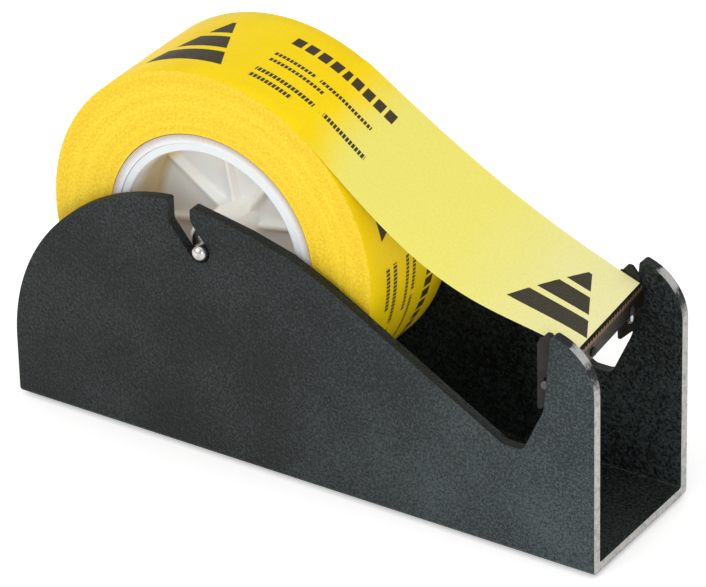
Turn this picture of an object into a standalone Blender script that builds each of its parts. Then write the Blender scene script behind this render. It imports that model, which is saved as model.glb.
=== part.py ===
# Bench tape dispenser: a heavy U-shaped channel, a lift-out axle carrying a roll on a 3 inch hub,
# and a toothed cutter on a bracket between the front horns.
# Frame: +X to the cutter, +Z up, origin under the middle of the whole object.
import math

import bmesh
import bpy
from mathutils import Vector

# Driving dimensions in metres. Side-view places are (x from the rear edge, z from the floor's underside).
FRAME_LENGTH = 0.2372
FRAME_WIDTH = 0.0624
WALL = 0.0038
ARCH_RADIUS = 0.0747
ARCH_CENTRE_Z = 0.0230
OUTER_BEND = 0.0020
INNER_BEND = 0.0008
SEAT = (0.0804, 0.0803)
SLOT_HALF_WIDTH = 0.0043
SLOT_TILT = math.radians(51.7)
SLOT_REAR_X = 0.0682
SLOT_FRONT_X = 0.0772
SHOULDER = (0.1181, 0.0896)
SHOULDER_RADIUS = 0.100
VALLEY_REAR = (0.2017, 0.0413)
VALLEY_FRONT = (0.2095, 0.0413)
HORN_KNEE = (0.2178, 0.0595)
HORN_TIP = (0.2204, 0.0892)
HORN_CENTRE = (0.2172, 0.0692)
HORN_RADIUS = 0.020

GAP = 0.0003
FOOT_HEIGHT = 0.0010
FOOT_RADIUS = 0.0060
FOOT_INSET_X = 0.018
FOOT_INSET_Y = 0.012
BASE_Z = FOOT_HEIGHT + GAP

AXLE = (0.0813, 0.0806)
AXLE_RADIUS = 0.0030
AXLE_OVERHANG = 0.0032
GROOVE_RADIUS = 0.0024
CLIP_OUTER = 0.0050
CLIP_THICKNESS = 0.0005
CLIP_GAP_ANGLE = math.radians(80)
WASHER_OUTER = 0.0072
WASHER_THICKNESS = 0.0007

TAPE_WIDTH = 0.0508
ROLL_RADIUS = 0.0652
CORE_OUTER = 0.0415
CORE_INNER = 0.0381
HUB_OUTER = 0.0378
HUB_RIM = 0.0030
HUB_BORE = 0.0036
HUB_BOSS = 0.0090
HUB_WEB = 0.0026
HUB_HALF_DEPTH = 0.0251
DISH_RIM_DEPTH = 0.0180
DISH_BOSS_DEPTH = 0.0195
DISH_DRAFT = 0.0008
RIB_COUNT = 8
RIB_PHASE = math.radians(10)
RIB_THICKNESS = 0.0016
RIB_DEPTH = 0.0128

SHEET = 0.0013
CUTTER_FRONT = (0.2247, 0.0800)
CUTTER_SKEW = math.radians(5.2)
DECK_REAR = (0.2136, 0.0838)
FLANGE_HEIGHT = 0.0062
BLADE_THICKNESS = 0.0006
BLADE_HALF_LENGTH = 0.0252
BLADE_RISE = 0.0014
TOOTH_PITCH = 0.0021
TOOTH_HEIGHT = 0.0012
RIVET_SPREAD = 0.015
RIVET_RADIUS = 0.0011
RIVET_HEAD = 0.0018
SCREW = (0.2172, 0.0682)
SCREW_RADIUS = 0.0017
SCREW_HEAD = 0.0032
SCREW_HEAD_HEIGHT = 0.0020
SCREW_LENGTH = 0.0056
LOCK_WASHER_THICKNESS = 0.0008

STRIP_THICKNESS = 0.0003
STRIP_LEAVE_ANGLE = math.radians(35)

MID_X = FRAME_LENGTH / 2
INSIDE_HALF = FRAME_WIDTH / 2 - WALL
ROUND_STEPS = 72
SMALL_STEPS = 32

PARTS_NAME = "tape_dispenser"


def side(point):
    """World x and z of a side-view place."""
    return point[0] - MID_X, point[1] + BASE_Z


def clear_scene():
    for item in list(bpy.data.objects):
        bpy.data.objects.remove(item, do_unlink=True)


def make_collection(name):
    collection = bpy.data.collections.new(name)
    bpy.context.scene.collection.children.link(collection)
    return collection


def make_material(name, colour, roughness, metallic):
    material = bpy.data.materials.new(name)
    material.use_nodes = True
    shader = material.node_tree.nodes["Principled BSDF"]
    shader.inputs["Base Color"].default_value = (*colour, 1.0)
    shader.inputs["Roughness"].default_value = roughness
    shader.inputs["Metallic"].default_value = metallic
    material.diffuse_color = (*colour, 1.0)
    return material


def arc_points(centre, radius, start, end, steps):
    """Points on an arc, ends included, as corners without a fillet."""
    points = []
    for index in range(steps + 1):
        angle = start + (end - start) * index / steps
        x = centre[0] + radius * math.cos(angle)
        z = centre[1] + radius * math.sin(angle)
        points.append((x, z, 0.0))
    return points


def fillet_corner(before, corner, after, radius):
    """Arc points that round one corner of an outline."""
    here = Vector(corner)
    inward = (Vector(before) - here).normalized()
    onward = (Vector(after) - here).normalized()
    half_angle = inward.angle(onward) / 2
    setback = radius / math.tan(half_angle)
    centre = here + (inward + onward).normalized() * (radius / math.sin(half_angle))
    first = here + inward * setback - centre
    last = here + onward * setback - centre
    turn = first.angle_signed(last)
    steps = max(2, math.ceil(abs(turn) / math.radians(12)))
    start = math.atan2(first.y, first.x)
    return [
        (centre.x + radius * math.cos(start - turn * i / steps),
         centre.y + radius * math.sin(start - turn * i / steps))
        for i in range(steps + 1)
    ]


def rounded_outline(corners):
    """Closed outline through (x, z, fillet radius) corners."""
    points = []
    for index, (x, z, radius) in enumerate(corners):
        if radius > 0:
            before = corners[index - 1][:2]
            after = corners[(index + 1) % len(corners)][:2]
            points.extend(fillet_corner(before, (x, z), after, radius))
        else:
            points.append((x, z))
    return points


def extruded(name, outline, thickness, rotation):
    """Flat outline given a thickness, as a welded mesh object."""
    curve = bpy.data.curves.new(name + "_outline", "CURVE")
    curve.dimensions = "2D"
    curve.fill_mode = "BOTH"
    curve.extrude = thickness / 2
    spline = curve.splines.new("POLY")
    spline.points.add(len(outline) - 1)
    for point, (across, up) in zip(spline.points, outline):
        point.co = (across, up, 0.0, 1.0)
    spline.use_cyclic_u = True
    source = bpy.data.objects.new(name + "_outline", curve)
    bpy.context.scene.collection.objects.link(source)
    bpy.context.view_layer.update()
    depsgraph = bpy.context.evaluated_depsgraph_get()
    mesh = bpy.data.meshes.new_from_object(source.evaluated_get(depsgraph))
    bpy.data.objects.remove(source, do_unlink=True)
    bpy.data.curves.remove(curve)
    work = bmesh.new()
    work.from_mesh(mesh)
    bmesh.ops.remove_doubles(work, verts=work.verts, dist=0.000001)
    bmesh.ops.recalc_face_normals(work, faces=work.faces)
    work.to_mesh(mesh)
    work.free()
    mesh.name = name
    result = bpy.data.objects.new(name, mesh)
    result.rotation_euler = rotation
    return result


SIDE_VIEW = (math.pi / 2, 0.0, 0.0)
FRONT_VIEW = (math.pi / 2, 0.0, math.pi / 2)


def turned(name, profile, steps, closed):
    """Profile of (radius, height) down its outer side, turned about the object's z axis."""
    mesh = bpy.data.meshes.new(name)
    points = [(radius, 0.0, height) for radius, height in profile]
    edges = [(i, i + 1) for i in range(len(points) - 1)]
    if closed:
        edges.append((len(points) - 1, 0))
    mesh.from_pydata(points, edges, [])
    item = bpy.data.objects.new(name, mesh)
    screw = item.modifiers.new("turn", "SCREW")
    screw.axis = "Z"
    screw.angle = math.tau
    screw.steps = steps
    screw.render_steps = steps
    screw.use_merge_vertices = True
    screw.merge_threshold = 0.00001
    screw.use_smooth_shade = True
    return item


ALONG_Y = (-math.pi / 2, 0.0, 0.0)


def ring(name, inner, outer, thickness, steps):
    profile = [(outer, thickness / 2), (outer, -thickness / 2), (inner, -thickness / 2), (inner, thickness / 2)]
    return turned(name, profile, steps, True)


def cylinder(name, radius, depth, steps=SMALL_STEPS):
    mesh = bpy.data.meshes.new(name)
    work = bmesh.new()
    bmesh.ops.create_cone(work, cap_ends=True, segments=steps, radius1=radius, radius2=radius, depth=depth)
    work.to_mesh(mesh)
    work.free()
    return bpy.data.objects.new(name, mesh)


def box(name, size):
    mesh = bpy.data.meshes.new(name)
    work = bmesh.new()
    bmesh.ops.create_cube(work, size=1.0)
    bmesh.ops.scale(work, vec=size, verts=work.verts)
    work.to_mesh(mesh)
    work.free()
    return bpy.data.objects.new(name, mesh)


def combine(target, other, operation):
    modifier = target.modifiers.new(operation.lower() + "_" + other.name, "BOOLEAN")
    modifier.operation = operation
    modifier.solver = "EXACT"
    modifier.object = other


def place(item, location, rotation=None, parent=None):
    item.location = location
    if rotation is not None:
        item.rotation_euler = rotation
    if parent is not None:
        item.parent = parent
    return item


class Kit:
    """The two collections and the materials that every piece is filed under."""

    def __init__(self):
        self.parts = make_collection(PARTS_NAME)
        self.cutters = make_collection(PARTS_NAME + "_cutters")
        self.materials = {
            "paint": make_material("wrinkle_paint", (0.036, 0.041, 0.042), 0.6, 0.0),
            "bracket": make_material("blackened_steel", (0.03, 0.028, 0.03), 0.45, 0.6),
            "blade": make_material("blade_steel", (0.30, 0.22, 0.16), 0.35, 0.9),
            "bright": make_material("plated_steel", (0.78, 0.78, 0.77), 0.18, 1.0),
            "hub": make_material("white_plastic", (0.83, 0.82, 0.78), 0.4, 0.0),
            "core": make_material("core_plastic", (0.74, 0.67, 0.62), 0.55, 0.0),
            "tape": make_material("yellow_tape", (0.90, 0.66, 0.02), 0.35, 0.0),
            "strip": make_material("pale_yellow_tape", (0.86, 0.80, 0.25), 0.35, 0.0),
            "rubber": make_material("black_rubber", (0.02, 0.02, 0.02), 0.8, 0.0),
        }

    def part(self, item, material):
        self.parts.objects.link(item)
        item.data.materials.clear()
        item.data.materials.append(self.materials[material])
        return item

    def smooth_part(self, item, material, angle=35):
        self.part(item, material)
        item.data.shade_smooth()
        item.data.set_sharp_from_angle(angle=math.radians(angle))
        return item

    def cutter(self, item):
        self.cutters.objects.link(item)
        item.hide_render = True
        item.display_type = "WIRE"
        return item


def slot_walls():
    """Slot from its rear mouth down to the axle seat and back up its front wall."""
    along = (math.cos(SLOT_TILT), -math.sin(SLOT_TILT))
    across = math.atan2(-along[0], along[1])
    rear_wall = (SEAT[0] + SLOT_HALF_WIDTH * math.cos(across), SEAT[1] + SLOT_HALF_WIDTH * math.sin(across))
    front_wall = (SEAT[0] - SLOT_HALF_WIDTH * math.cos(across), SEAT[1] - SLOT_HALF_WIDTH * math.sin(across))
    rise = math.tan(SLOT_TILT)
    rear_bend = (SLOT_REAR_X, rear_wall[1] + (rear_wall[0] - SLOT_REAR_X) * rise, 0.003)
    front_bend = (SLOT_FRONT_X, front_wall[1] + (front_wall[0] - SLOT_FRONT_X) * rise, 0.004)
    return [rear_bend] + arc_points(SEAT, SLOT_HALF_WIDTH, across, across + math.pi, 12) + [front_bend]


def side_outline():
    """Side view of one plate, rear bottom corner first."""
    arch_centre = (ARCH_RADIUS, ARCH_CENTRE_Z)
    arch_end = math.acos((SLOT_REAR_X - 0.0015 - ARCH_RADIUS) / ARCH_RADIUS)
    arch = arc_points(arch_centre, ARCH_RADIUS, math.pi, arch_end, 32)
    slot_mouth_z = ARCH_CENTRE_Z + math.sqrt(ARCH_RADIUS ** 2 - (SLOT_REAR_X - ARCH_RADIUS) ** 2)
    arch_top = ARCH_CENTRE_Z + ARCH_RADIUS
    descent = (SHOULDER[1] - arch_top) / (SHOULDER[0] - ARCH_RADIUS)
    lip_z = arch_top + (SLOT_FRONT_X - ARCH_RADIUS) * descent
    corners = [(0.0, 0.0, 0.002)] + arch
    corners.append((SLOT_REAR_X, slot_mouth_z, 0.0008))
    corners += slot_walls()
    corners.append((SLOT_FRONT_X, lip_z, 0.0018))
    corners.append((*SHOULDER, SHOULDER_RADIUS))
    corners.append((*VALLEY_REAR, 0.004))
    corners.append((*VALLEY_FRONT, 0.004))
    corners.append((*HORN_KNEE, 0.012))
    corners.append((*HORN_TIP, 0.0016))
    corners += arc_points(HORN_CENTRE, HORN_RADIUS, math.radians(74), 0.0, 12)
    corners.append((FRAME_LENGTH, 0.0, 0.0008))
    return rounded_outline(corners)


def channel_section():
    """U-shaped cross-section, tall enough for every part of the side view."""
    half = FRAME_WIDTH / 2
    top = ARCH_CENTRE_Z + ARCH_RADIUS + 0.010
    corners = [
        (-half, top, 0.0),
        (-half, 0.0, OUTER_BEND),
        (half, 0.0, OUTER_BEND),
        (half, top, 0.0),
        (INSIDE_HALF, top, 0.0),
        (INSIDE_HALF, WALL, INNER_BEND),
        (-INSIDE_HALF, WALL, INNER_BEND),
        (-INSIDE_HALF, top, 0.0),
    ]
    return rounded_outline(corners)


def build_frame(kit):
    frame = extruded("channel_frame", side_outline(), FRAME_WIDTH + 0.004, SIDE_VIEW)
    place(frame, (-MID_X, 0.0, BASE_Z))
    kit.part(frame, "paint")
    section = extruded("channel_section", channel_section(), FRAME_LENGTH + 0.010, FRONT_VIEW)
    place(section, (0.0, 0.0, BASE_Z))
    combine(frame, kit.cutter(section), "INTERSECT")
    for name, sign in (("right", -1), ("left", 1)):
        depth = 0.0030
        hole = cylinder("screw_hole_" + name, SCREW_RADIUS + GAP, depth + 0.002)
        x, z = side(SCREW)
        place(hole, (x, sign * (INSIDE_HALF + depth / 2 - 0.001), z), ALONG_Y)
        combine(frame, kit.cutter(hole), "DIFFERENCE")


def build_feet(kit):
    for end, x in (("rear", FOOT_INSET_X - MID_X), ("front", MID_X - FOOT_INSET_X)):
        for hand, sign in (("right", -1), ("left", 1)):
            foot = cylinder("foot_" + end + "_" + hand, FOOT_RADIUS, FOOT_HEIGHT)
            y = sign * (FRAME_WIDTH / 2 - FOOT_INSET_Y)
            place(foot, (x, y, FOOT_HEIGHT / 2))
            kit.smooth_part(foot, "rubber")


def skew_front(item):
    """Slide each point forward with its place across the frame, most at the front edge."""
    rear = DECK_REAR[0]
    front = CUTTER_FRONT[0]
    for vertex in item.data.vertices:
        weight = min(1.0, max(0.0, (vertex.co.x - rear) / (front - SHEET - rear)))
        vertex.co.x += weight * math.tan(CUTTER_SKEW) * vertex.co.z


def bracket_section():
    slope = (CUTTER_FRONT[1] - DECK_REAR[1]) / (CUTTER_FRONT[0] - DECK_REAR[0])
    under = SHEET * math.hypot(1.0, slope)
    inner_x = CUTTER_FRONT[0] - SHEET
    inner_z = CUTTER_FRONT[1] - SHEET * slope - under
    foot_z = CUTTER_FRONT[1] - FLANGE_HEIGHT
    corners = [
        (*DECK_REAR, 0.0),
        (*CUTTER_FRONT, 0.0018),
        (CUTTER_FRONT[0], foot_z, 0.0),
        (inner_x, foot_z, 0.0),
        (inner_x, inner_z, 0.0006),
        (DECK_REAR[0], DECK_REAR[1] - under, 0.0),
    ]
    return rounded_outline(corners)


def ear_outline():
    corners = [
        (0.2128, 0.0568, 0.0006),
        (0.2128, 0.0820, 0.0020),
        (0.2165, 0.0866, 0.0010),
        (0.2182, 0.0866, 0.0010),
        (0.2212, 0.0830, 0.0006),
        (0.2212, 0.0640, 0.0010),
        (0.2140, 0.0568, 0.0006),
    ]
    return rounded_outline(corners)


def cutter_base():
    """Empty on the front face of the flange, turned with the skewed edge."""
    base = bpy.data.objects.new("cutter_base", None)
    x, z = side(CUTTER_FRONT)
    return place(base, (x, 0.0, z), (0.0, 0.0, CUTTER_SKEW))


def build_bracket(kit, base):
    width = 2 * (INSIDE_HALF - GAP)
    bracket = extruded("cutter_bracket", bracket_section(), width, SIDE_VIEW)
    skew_front(bracket)
    place(bracket, (-MID_X, 0.0, BASE_Z))
    kit.part(bracket, "bracket")
    for name, sign in (("right", -1), ("left", 1)):
        ear = extruded("ear_" + name, ear_outline(), SHEET, SIDE_VIEW)
        place(ear, (-MID_X, sign * (width / 2 - SHEET / 2), BASE_Z))
        combine(bracket, kit.cutter(ear), "UNION")
    for name, sign in (("right", -1), ("left", 1)):
        hole = cylinder("ear_hole_" + name, SCREW_RADIUS + GAP, 0.006)
        x, z = side(SCREW)
        place(hole, (x, sign * INSIDE_HALF, z), ALONG_Y)
        combine(bracket, kit.cutter(hole), "DIFFERENCE")
        rivet_hole = cylinder("flange_hole_" + name, RIVET_RADIUS + GAP, 0.006)
        place(rivet_hole, (0.0, sign * RIVET_SPREAD, -FLANGE_HEIGHT * 0.55), (0.0, math.pi / 2, 0.0), base)
        combine(bracket, kit.cutter(rivet_hole), "DIFFERENCE")


def blade_outline():
    """Strip with a row of teeth along its upper edge, seen from the front."""
    count = round(2 * BLADE_HALF_LENGTH / TOOTH_PITCH)
    pitch = 2 * BLADE_HALF_LENGTH / count
    foot_z = -FLANGE_HEIGHT + 0.0004
    points = [(BLADE_HALF_LENGTH, foot_z), (BLADE_HALF_LENGTH, BLADE_RISE - TOOTH_HEIGHT)]
    for index in range(count):
        y = BLADE_HALF_LENGTH - (index + 0.5) * pitch
        points.append((y, BLADE_RISE))
        points.append((y - pitch / 2, BLADE_RISE - TOOTH_HEIGHT))
    points.append((-BLADE_HALF_LENGTH, foot_z))
    return points


def build_blade(kit, base):
    blade = extruded("cutting_blade", blade_outline(), BLADE_THICKNESS, FRONT_VIEW)
    place(blade, (GAP + BLADE_THICKNESS / 2, 0.0, 0.0), parent=base)
    kit.part(blade, "blade")
    for name, sign in (("right", -1), ("left", 1)):
        spot = (sign * RIVET_SPREAD, -FLANGE_HEIGHT * 0.55)
        hole = cylinder("blade_hole_" + name, RIVET_RADIUS + GAP, 0.004)
        place(hole, (0.0, *spot), (0.0, math.pi / 2, 0.0), base)
        combine(blade, kit.cutter(hole), "DIFFERENCE")
        front = 2 * GAP + BLADE_THICKNESS
        back = -SHEET - GAP
        profile = [
            (0.0, front + 0.0009),
            (RIVET_HEAD * 0.6, front + 0.0007),
            (RIVET_HEAD, front),
            (RIVET_RADIUS, front),
            (RIVET_RADIUS, back),
            (RIVET_HEAD * 0.9, back),
            (RIVET_HEAD * 0.9, back - 0.0006),
            (0.0, back - 0.0006),
        ]
        rivet = turned("blade_rivet_" + name, profile, 24, False)
        place(rivet, (0.0, *spot), (0.0, math.pi / 2, 0.0), base)
        kit.smooth_part(rivet, "bracket")


def build_bracket_screws(kit):
    x, z = side(SCREW)
    washer_mid = INSIDE_HALF - GAP - SHEET - GAP - LOCK_WASHER_THICKNESS / 2
    head_face = washer_mid - LOCK_WASHER_THICKNESS / 2 - GAP
    for name, sign in (("right", -1), ("left", 1)):
        turn = (-sign * math.pi / 2, 0.0, 0.0)
        washer = ring("lock_washer_" + name, SCREW_RADIUS + GAP, 0.0029, LOCK_WASHER_THICKNESS, 24)
        place(washer, (x, sign * washer_mid, z), turn)
        kit.smooth_part(washer, "bright")
        profile = [
            (0.0, SCREW_LENGTH),
            (SCREW_RADIUS * 0.8, SCREW_LENGTH),
            (SCREW_RADIUS, SCREW_LENGTH - 0.0004),
            (SCREW_RADIUS, 0.0),
            (SCREW_HEAD, 0.0),
            (SCREW_HEAD, -SCREW_HEAD_HEIGHT * 0.55),
            (SCREW_HEAD * 0.82, -SCREW_HEAD_HEIGHT * 0.92),
            (SCREW_HEAD * 0.4, -SCREW_HEAD_HEIGHT),
            (0.0, -SCREW_HEAD_HEIGHT),
        ]
        screw = turned("bracket_screw_" + name, profile, 24, False)
        place(screw, (x, sign * head_face, z), turn)
        kit.smooth_part(screw, "bright")
        drive = box("drive_slot_" + name, (SCREW_HEAD * 2.4, 0.0008, 0.0014))
        drive_y = sign * (head_face - SCREW_HEAD_HEIGHT)
        place(drive, (x, drive_y, z), (-sign * math.pi / 2, math.radians(35), 0.0))
        combine(screw, kit.cutter(drive), "DIFFERENCE")


def clip_outline():
    """Open ring with a mouth at its underside."""
    start = -math.pi / 2 + CLIP_GAP_ANGLE / 2
    end = 1.5 * math.pi - CLIP_GAP_ANGLE / 2
    outer = arc_points((0.0, 0.0), CLIP_OUTER, start, end, 24)
    inner = arc_points((0.0, 0.0), GROOVE_RADIUS + GAP, end, start, 24)
    return [(x, z) for x, z, radius in outer + inner]


def build_axle(kit, hub_axis):
    half = FRAME_WIDTH / 2 + AXLE_OVERHANG
    washer_mid = HUB_HALF_DEPTH + GAP + WASHER_THICKNESS / 2
    clip_mid = washer_mid + WASHER_THICKNESS / 2 + GAP + CLIP_THICKNESS / 2
    groove = CLIP_THICKNESS / 2 + GAP / 2
    dome = [
        (AXLE_RADIUS * math.sin(angle), half - AXLE_RADIUS * 0.85 * (1 - math.cos(angle)))
        for angle in (math.radians(15 * step) for step in range(7))
    ]
    neck = [
        (AXLE_RADIUS, clip_mid + groove),
        (GROOVE_RADIUS, clip_mid + groove),
        (GROOVE_RADIUS, clip_mid - groove),
        (AXLE_RADIUS, clip_mid - groove),
    ]
    upper = dome + neck
    lower = [(radius, -height) for radius, height in reversed(upper)]
    rod = turned("axle_rod", upper + lower, SMALL_STEPS, False)
    place(rod, (0.0, 0.0, 0.0), ALONG_Y, hub_axis)
    kit.smooth_part(rod, "bright")
    for name, sign in (("right", -1), ("left", 1)):
        washer = ring("spacer_washer_" + name, AXLE_RADIUS + GAP, WASHER_OUTER, WASHER_THICKNESS, SMALL_STEPS)
        place(washer, (0.0, sign * washer_mid, 0.0), ALONG_Y, hub_axis)
        kit.smooth_part(washer, "bright")
        clip = extruded("axle_clip_" + name, clip_outline(), CLIP_THICKNESS, SIDE_VIEW)
        place(clip, (0.0, sign * clip_mid, 0.0), parent=hub_axis)
        kit.part(clip, "bright")


def hub_profile():
    """Half hub: rim, deep web and boss, open towards the hub's middle and its own face."""
    face = HUB_HALF_DEPTH
    middle = GAP / 2
    rim_inner = HUB_OUTER - HUB_RIM
    dish_outer = face - DISH_RIM_DEPTH
    dish_inner = face - DISH_BOSS_DEPTH
    return [
        (HUB_OUTER - 0.0004, face),
        (HUB_OUTER, face - 0.0004),
        (HUB_OUTER, middle),
        (rim_inner, middle),
        (rim_inner - DISH_DRAFT, dish_outer - HUB_WEB),
        (HUB_BOSS, dish_inner - HUB_WEB),
        (HUB_BOSS, middle),
        (HUB_BORE, middle),
        (HUB_BORE, face),
        (HUB_BOSS - 0.0006, face),
        (HUB_BOSS, face - 0.0006),
        (HUB_BOSS, dish_inner),
        (rim_inner - DISH_DRAFT, dish_outer),
        (rim_inner, face),
    ]


def build_hub(kit, hub_axis):
    rib_length = HUB_OUTER - HUB_RIM / 2 - HUB_BOSS + 0.002
    rib_top = HUB_HALF_DEPTH - RIB_DEPTH
    rib_foot = HUB_HALF_DEPTH - DISH_BOSS_DEPTH - HUB_WEB / 2
    for name, sign in (("right", -1), ("left", 1)):
        half = turned("hub_half_" + name, hub_profile(), ROUND_STEPS, True)
        place(half, (0.0, 0.0, 0.0), (-sign * math.pi / 2, 0.0, 0.0), hub_axis)
        kit.smooth_part(half, "hub")
        for index in range(RIB_COUNT):
            angle = RIB_PHASE + index * math.tau / RIB_COUNT
            reach = HUB_BOSS - 0.001 + rib_length / 2
            rib = extruded("rib_%s_%d" % (name, index), rib_outline(rib_length, rib_foot, rib_top),
                           RIB_THICKNESS, (math.pi / 2, 0.0, angle))
            spot = (reach * math.cos(angle), reach * math.sin(angle), 0.0)
            place(rib, spot, parent=half)
            combine(half, kit.cutter(rib), "UNION")


def rib_outline(length, foot, top):
    """Rib standing on the web, its foot following the web's slope."""
    climb = DISH_BOSS_DEPTH - DISH_RIM_DEPTH
    return [
        (-length / 2, foot),
        (length / 2, foot + climb),
        (length / 2, top),
        (-length / 2, top),
    ]


def build_roll(kit, hub_axis):
    core = ring("tape_core", CORE_INNER, CORE_OUTER - GAP / 2, TAPE_WIDTH, ROUND_STEPS)
    place(core, (0.0, 0.0, 0.0), ALONG_Y, hub_axis)
    kit.smooth_part(core, "core")
    roll = ring("tape_roll", CORE_OUTER + GAP / 2, ROLL_RADIUS, TAPE_WIDTH, 96)
    place(roll, (0.0, 0.0, 0.0), ALONG_Y, hub_axis)
    kit.smooth_part(roll, "tape")


def strip_centreline():
    """Free tape in the side view: a cubic leaving the roll on its tangent and ending along the deck."""
    lift = ROLL_RADIUS + GAP + STRIP_THICKNESS / 2
    start = (AXLE[0] + lift * math.sin(STRIP_LEAVE_ANGLE), AXLE[1] + lift * math.cos(STRIP_LEAVE_ANGLE))
    slope_in = -math.tan(STRIP_LEAVE_ANGLE)
    slope_out = (CUTTER_FRONT[1] - DECK_REAR[1]) / (CUTTER_FRONT[0] - DECK_REAR[0])
    end_x = CUTTER_FRONT[0] - 0.0003
    end = (end_x, CUTTER_FRONT[1] + GAP + STRIP_THICKNESS)
    run = end[0] - start[0]
    points = []
    count = 28
    for index in range(count + 1):
        t = index / count
        along = (2 * t ** 3 - 3 * t ** 2 + 1) * start[1] + (-2 * t ** 3 + 3 * t ** 2) * end[1]
        bend = (t ** 3 - 2 * t ** 2 + t) * slope_in + (t ** 3 - t ** 2) * slope_out
        points.append((start[0] + run * t, along + run * bend))
    return points


def build_strip(kit):
    line = strip_centreline()
    half = STRIP_THICKNESS / 2
    outline = [(x, z + half) for x, z in line] + [(x, z - half) for x, z in reversed(line)]
    strip = extruded("tape_strip", outline, TAPE_WIDTH, SIDE_VIEW)
    skew_front(strip)
    place(strip, (-MID_X, 0.0, BASE_Z))
    kit.smooth_part(strip, "strip")


def main():
    clear_scene()
    kit = Kit()
    base = cutter_base()
    kit.cutters.objects.link(base)
    hub_axis = bpy.data.objects.new("hub_axis", None)
    kit.parts.objects.link(hub_axis)
    x, z = side(AXLE)
    place(hub_axis, (x, 0.0, z))
    build_frame(kit)
    build_feet(kit)
    build_bracket(kit, base)
    build_blade(kit, base)
    build_bracket_screws(kit)
    build_axle(kit, hub_axis)
    build_hub(kit, hub_axis)
    build_roll(kit, hub_axis)
    build_strip(kit)
    bpy.context.view_layer.update()


main()
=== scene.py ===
# Bench tape dispenser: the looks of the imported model. Metres, +X to the cutter, +Z up.
import math

import bmesh
import bpy
import numpy as np
from mathutils import Matrix, Vector


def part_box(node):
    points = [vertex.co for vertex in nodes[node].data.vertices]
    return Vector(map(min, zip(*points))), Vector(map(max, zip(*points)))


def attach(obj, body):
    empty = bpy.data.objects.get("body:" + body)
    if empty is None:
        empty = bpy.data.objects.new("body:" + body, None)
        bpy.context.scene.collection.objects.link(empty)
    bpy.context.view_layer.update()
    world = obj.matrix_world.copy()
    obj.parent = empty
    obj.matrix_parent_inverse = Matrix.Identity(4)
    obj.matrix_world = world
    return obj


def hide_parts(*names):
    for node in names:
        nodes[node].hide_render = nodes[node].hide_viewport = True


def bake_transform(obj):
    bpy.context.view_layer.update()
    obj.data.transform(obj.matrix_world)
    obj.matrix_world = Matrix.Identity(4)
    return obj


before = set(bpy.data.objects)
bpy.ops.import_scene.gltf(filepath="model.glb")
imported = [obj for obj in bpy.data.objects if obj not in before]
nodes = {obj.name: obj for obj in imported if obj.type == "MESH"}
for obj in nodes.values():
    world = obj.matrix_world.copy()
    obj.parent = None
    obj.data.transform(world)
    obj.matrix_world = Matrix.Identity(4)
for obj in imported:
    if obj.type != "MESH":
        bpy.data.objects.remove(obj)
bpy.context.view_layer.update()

rodLow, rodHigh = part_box("axle_rod")
rollLow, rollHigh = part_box("tape_roll")
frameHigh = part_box("channel_frame")[1]
axleX = (rodLow.x + rodHigh.x) / 2
axleZ = (rodLow.z + rodHigh.z) / 2
rollRadius = (rollHigh.x - rollLow.x) / 2
tapeHalf = rollHigh.y  # half the tape's width
print("frame loaded:", len(nodes), "nodes")

viewPoint = {
    "azimuth": 33.45,
    "elevation": 29.98,
    "roll": -1.43,
    "place": (0.8732, -1.3158, 0.9718),
    "lens": 269.7,
}


def makeCamera(settings):
    # the view's right and up come from its azimuth and elevation, then turn by its roll
    a, e, r = (math.radians(settings[key]) for key in ("azimuth", "elevation", "roll"))
    back = Vector((math.sin(a) * math.cos(e), -math.cos(a) * math.cos(e), math.sin(e)))
    right = Vector((math.cos(a), math.sin(a), 0))
    up = back.cross(right)
    turnedRight = right * math.cos(r) + up * math.sin(r)
    turnedUp = up * math.cos(r) - right * math.sin(r)
    data = bpy.data.cameras.new("camera")
    data.lens = settings["lens"]
    data.clip_start, data.clip_end = 0.1, 20
    camera = bpy.data.objects.new("camera", data)
    bpy.context.scene.collection.objects.link(camera)
    rotation = Matrix((turnedRight, turnedUp, back)).transposed().to_4x4()
    camera.matrix_world = Matrix.Translation(settings["place"]) @ rotation
    bpy.context.scene.camera = camera


studio = {
    "worldStrength": 0.68,
    "floorColour": (0.92, 0.92, 0.92, 1),
    "floorHalf": 4.0,
    "floorGlow": 0.32,  # the floor's glow up to glowFrom metres away, rising
    "farGlow": 0.75,  # to this from glowTo metres on
    "glowFrom": 0.35,
    "glowTo": 1.6,
    "aim": (0, 0, 0.06),  # the lights point here
    "lights": (  # name, place, width, height, power, colour
        ("keyLight", (-0.48, -1.15, 1.02), 1.2, 1.2, 7.5, (1.0, 0.99, 0.97)),
        ("frontLight", (0.85, -0.70, 0.42), 0.35, 0.35, 2.8, (0.96, 0.98, 1.0)),
        ("topLight", (0.15, -0.10, 1.50), 0.9, 0.9, 3.0, (1.0, 0.99, 0.97)),
    ),
}


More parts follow.
